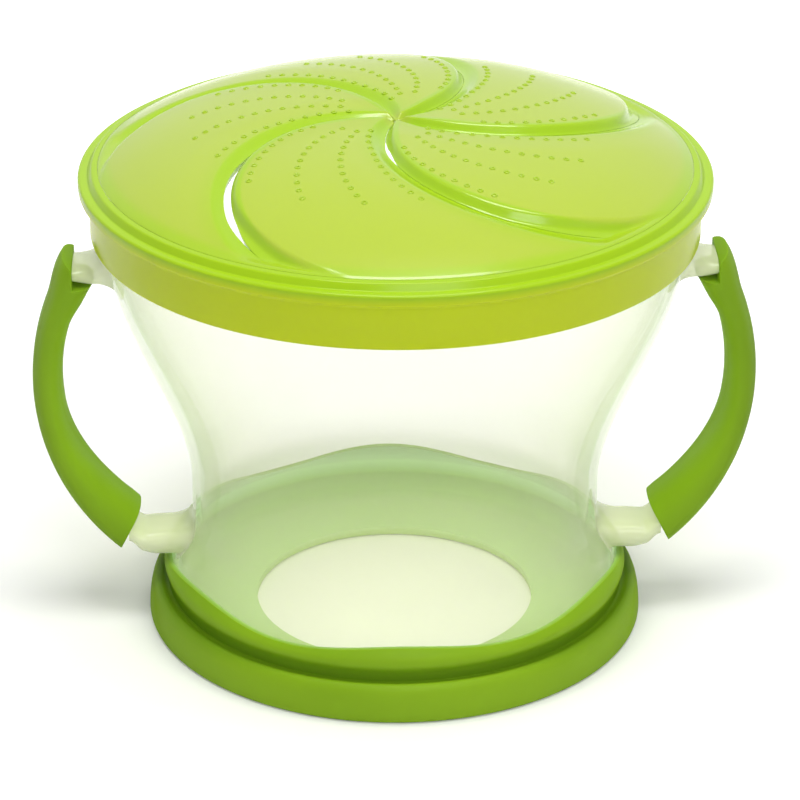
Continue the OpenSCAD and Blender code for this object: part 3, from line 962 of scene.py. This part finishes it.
def slit_alpha(r):
    """How far, in degrees, a slit has turned at a radius."""
    return degrees(asin(min(1, r / (2 * SLIT_ARC_R))))


# %% Form of the swirl
def height_share(r, u, v):
    """Share of full height left at distance u past one slit and v before the next."""
    near = 0.5 + 0.5 * smooth(r / 9)
    scoop = SCOOP * smooth((r - SLIT_END_R + 9) / 8)
    behind = smooth((u - scoop) / (STEEP * near))
    ahead = 0.75 * smooth(v / (STEP * near)) + 0.25 * smooth(v / SLOPE)
    return behind * ahead


def colour_band(r, u, v, fade):
    """How deep the colour is: strongest in the two grooves beside the slits."""
    # the deeper colour is partly painted shade on the grooves' steep faces, partly the deeper
    # look of the thicker translucent sheet
    near = 0.7 + 0.3 * smooth(r / 9)
    past = 1 - smooth((u - 1.8 * near) / (0.5 * near))
    before = 1 - smooth((v - 2.3 * near) / (0.6 * near))
    wide = 0.4 - 0.4 * smooth((v - 2) / 3.5)
    return max(past, before, wide) * (1 - fade) * smooth((r - 0.8) / 3)


def panel_point(r, w, gap_behind, gap_ahead):
    """A point of the panel's top at radius r; w runs from 0 to 1 across the flap."""
    scale = r * cos(radians(slit_alpha(r))) * pi / 180
    low = gap_behind / scale
    high = SEG - gap_ahead / scale
    angle = low + (high - low) * w
    u, v = scale * angle, scale * (SEG - angle)
    fade = smooth((r - SLIT_END_R) / (PANEL_R - SLIT_END_R))
    z = dome_z(r) - GROOVE_DEPTH * (1 - max(fade, height_share(r, u, v)))
    turn = radians(angle + slit_alpha(r))
    # round the panel's falling edge the deeper colour is partly painted shade too
    band = max(colour_band(r, u, v, fade),
               BORDER_BAND * smooth((r - BORDER_R) / 1.8))
    return Vector((r * cos(turn), r * sin(turn), z)) * MM, band


def gap_at(slit, r):
    """Half the width of a slit (0 to 4) at radius r, in mm; two stand a little open."""
    half = SLIT_SHUT * (1 - smooth((r - 43) / 1.5)) + 0.001
    if slit == 2:
        half += 0.5 * smooth((r - 20) / 14) * (1 - smooth((r - 39) / 4.5))
    if slit == 3:
        half += 0.22 * smooth((r - 9) / 4) * (1 - smooth((r - 14) / 4))
    return half


# %% Flaps
ROWS = 84
COLUMNS = 72
FLAP_EDGE = 0.14


def make_flap(k):
    deselect()
    bpy.ops.mesh.primitive_grid_add(x_subdivisions=ROWS, y_subdivisions=COLUMNS, size=1)
    piece = bpy.context.object
    piece.name = "flap_sheet_%d" % k
    bands = []
    for point in piece.data.vertices:
        outwards, across = point.co.x + 0.5, point.co.y + 0.5
        r = TIP_R + (PANEL_R - TIP_R) * outwards
        across = 0.7 * (0.5 - 0.5 * cos(pi * across)) + 0.3 * across
        point.co, band = panel_point(r, across, gap_at(k - 1, r), gap_at(k % FLAPS, r))
        bands.append(band)
    note_on_points(piece, "band", bands)
    turn_round(piece, SLIT_TURN + SEG * (k - 1))
    edit(piece)
    face_outwards()
    leave_edit()
    if sum(f.normal.z for f in piece.data.polygons) < 0:
        edit(piece)
        bpy.ops.mesh.flip_normals()
        leave_edit()
    wall = piece.modifiers.new("wall", "SOLIDIFY")
    wall.thickness = PANEL_T * MM
    wall.offset = -1
    soft_edges(piece, FLAP_EDGE, 2, 60)
    apply_modifiers(piece)
    smooth_faces(piece, 50)
    piece.data.materials.append(panel_green)
    return piece


hinge = {j["name"]: j for j in frame["joints"]}
flaps = []
for k in range(1, FLAPS + 1):
    flap = make_flap(k)
    joint = hinge["flap_%d_bend" % k]
    axis = Vector(joint["axis"])
    middle = Vector(joint["pos_m"])
    inward = axis.cross(Vector((0, 0, 1))).normalized()
    if inward.dot(middle) > 0:
        inward = -inward
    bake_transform(flap)
    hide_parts("flap_%d" % k)
    flaps.append(flap)
print("flap faces:", len(flaps[0].data.polygons))

# %% [markdown]
# ## Rows of dots
#
# Each flap carries rows of small raised rings that follow the swirl and give little
# fingers some grip. One ring is a tiny torus sunk halfway into the surface. It is
# copied along the rows and tilted with the dome, and a flap's copies are joined.

# %% Dots
DOT_R = 0.5
DOT_TUBE = 0.15
DOT_BAND = 0.6
DOT_PITCH = 2.25
DOT_GAP = 0.1            # half a slit's width, as the rows see it
# each row's place across the flap, and the radii between which it runs
ROWS_OF_DOTS = ((0.1, 14.0, 32.6), (0.35, 10.4, 33.2), (0.605, 9.4, 33.0), (0.855, 7.6, 31.8))

deselect()
bpy.ops.mesh.primitive_torus_add(major_segments=16, minor_segments=8,
                                 major_radius=(DOT_R - DOT_TUBE) * MM,
                                 minor_radius=DOT_TUBE * MM)
dot = bpy.context.object
smooth_faces(dot, 80)
note_on_points(dot, "band", [DOT_BAND] * len(dot.data.vertices))


def dot_places():
    """Where the dots of one flap lie, each tilted as the dome falls."""
    for place, start, end in ROWS_OF_DOTS:
        r = start
        while r < end:
            drawn_in = 0.5 + (place - 0.5) * smooth((r + 9) / 27)
            point = panel_point(r, drawn_in, DOT_GAP, DOT_GAP)[0]
            fall = PANEL_RISE * DOME_POWER / PANEL_R * (r / PANEL_R) ** (DOME_POWER - 1)
            yield (Matrix.Translation(point)
                   @ Matrix.Rotation(atan(fall), 4, Vector((-point.y, point.x, 0))))
            r += DOT_PITCH * cos(radians(slit_alpha(r)))


for k in range(1, FLAPS + 1):
    turn = Matrix.Rotation(radians(SLIT_TURN + SEG * (k - 1)), 4, "Z")
    copies = []
    for spot in dot_places():
        one = copy_of(dot, "dot")
        one.data.transform(turn @ spot)
        copies.append(one)
    dots = joined(copies, "flap_dots_%d" % k)
    dots.data.materials.append(panel_green)
    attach(dots, "flap_%d" % k)
print("dots on each flap:", len(copies))
bpy.data.objects.remove(dot)

# %% Size
shown_low, shown_high = [list(corner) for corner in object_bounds()]
print("size shown in mm:",
      [round((b - a) / MM, 1) for a, b in zip(shown_low, shown_high)])
